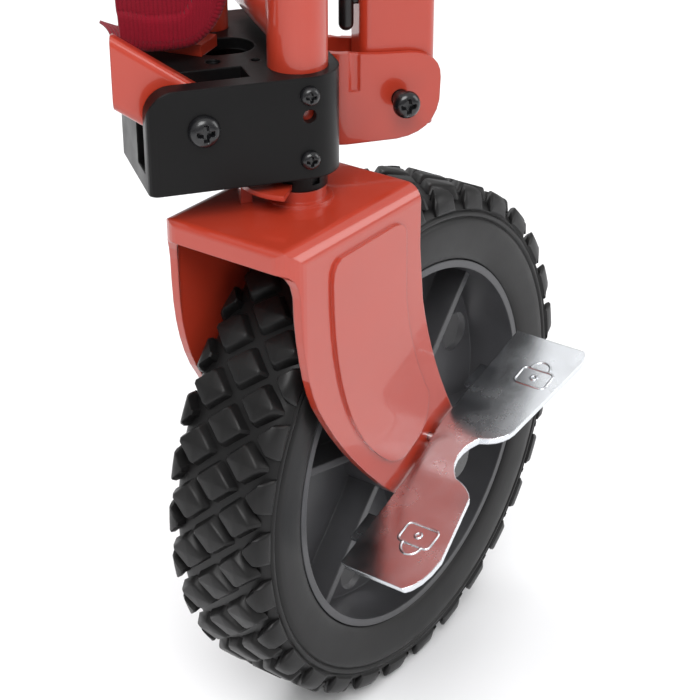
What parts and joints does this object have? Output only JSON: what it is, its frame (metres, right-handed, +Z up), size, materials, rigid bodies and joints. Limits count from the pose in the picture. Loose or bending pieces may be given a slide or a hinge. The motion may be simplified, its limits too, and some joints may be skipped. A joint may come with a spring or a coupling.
{
  "type": "wagon corner with braked swivel wheel",
  "caption": "Front corner of a folding garden wagon: braked swivel wheel in a pressed fork, moulded corner bracket, hinged side link, handle clevis and fabric liner corner",
  "frame": {"origin": "Centre of the upright tube's open top end, on the wheel's swivel axis", "axes": "+Z up along the swivel axis; at rest the wheel trails towards +X and its axle lies along Y with the brake pedal on the -Y side; the wagon's side runs 36 degrees clockwise from +X seen from above"},
  "size_m": [0.2005, 0.1308, 0.295],
  "materials": {
    "tyre": "moulded black rubber, matt tread blocks and a smoother side wall",
    "grey_plastic": "dark grey moulded plastic",
    "black_plastic": "satin black moulded plastic",
    "black_rubber": "smooth black rubber",
    "red_paint": "glossy orange-red powder coat",
    "zinc": "bright zinc plate over pressed sheet",
    "steel": "plain zinc-plated steel",
    "dark_steel": "glossy black plated screws",
    "crimson_fabric": "ribbed crimson cloth with a stitched hem"
  },
  "bodies": {
    "frame_corner": {"corner_bracket": "black_plastic", "upright_tube": "red_paint", "lower_bush": "black_plastic", "upper_bush": "black_plastic", "bracket_screws": "dark_steel", "link_bolt": "dark_steel", "link_nut": "steel", "front_cross_tube": "red_paint", "inner_post": "red_paint", "floor_brace": "red_paint", "brace_rivet": "steel", "fabric_corner": "crimson_fabric", "handle_clevis": "red_paint", "clevis_screws": "dark_steel", "clevis_nuts": "steel", "handle_bolt": "dark_steel", "handle_nut": "steel"},
    "fork": {"fork": "red_paint", "axle_bolt": "dark_steel", "axle_nut": "steel", "axle_sleeves": "steel", "swivel_stem": "steel", "stem_washer": "steel", "stem_clip": "dark_steel", "swivel_lock_plate": "red_paint", "pedal_washer": "steel"},
    "wheel": {"tyre": "tyre", "rim": "grey_plastic", "wheel_bearings": "steel", "bearing_spacer": "steel"},
    "pedal": {"brake_pedal": "zinc"},
    "lock_ring": {"brake_lock_ring": "zinc"},
    "side_link": {"side_link": "red_paint", "link_bush": "steel"},
    "handle": {"handle_tube": "red_paint", "handle_bush": "black_plastic", "handle_bumper": "black_rubber"}
  },
  "joints": [
    {"name": "fork_swivel", "type": "hinge", "parent": "frame_corner", "child": "fork", "pos_m": [0, 0, -0.07], "axis": [0, 0, 1], "continuous": true},
    {"name": "wheel_spin", "type": "hinge", "parent": "fork", "child": "wheel", "pos_m": [0.046, 0, -0.195], "axis": [0, 1, 0], "continuous": true},
    {"name": "brake_rock", "type": "hinge", "parent": "fork", "child": "pedal", "pos_m": [0.046, 0, -0.195], "axis": [0, 1, 0], "range_deg": [0, 18]},
    {"name": "lock_slide", "type": "slide", "parent": "fork", "child": "lock_ring", "axis": [0, 1, 0], "range_m": [0, 0.0023]},
    {"name": "side_link_fold", "type": "hinge", "parent": "frame_corner", "child": "side_link", "pos_m": [-0.02936, 0.01948, -0.0497], "axis": [0.5878, 0.809, 0], "range_deg": [0, 50]},
    {"name": "handle_fold", "type": "hinge", "parent": "frame_corner", "child": "handle", "pos_m": [0.05247, -0.00042, -0.0591], "axis": [0.5878, 0.809, 0], "range_deg": [0, 100]}
  ],
  "couplings": [
    {"joint": "lock_slide", "follows": "brake_rock", "m_per_rad": 0.00732}
  ]
}
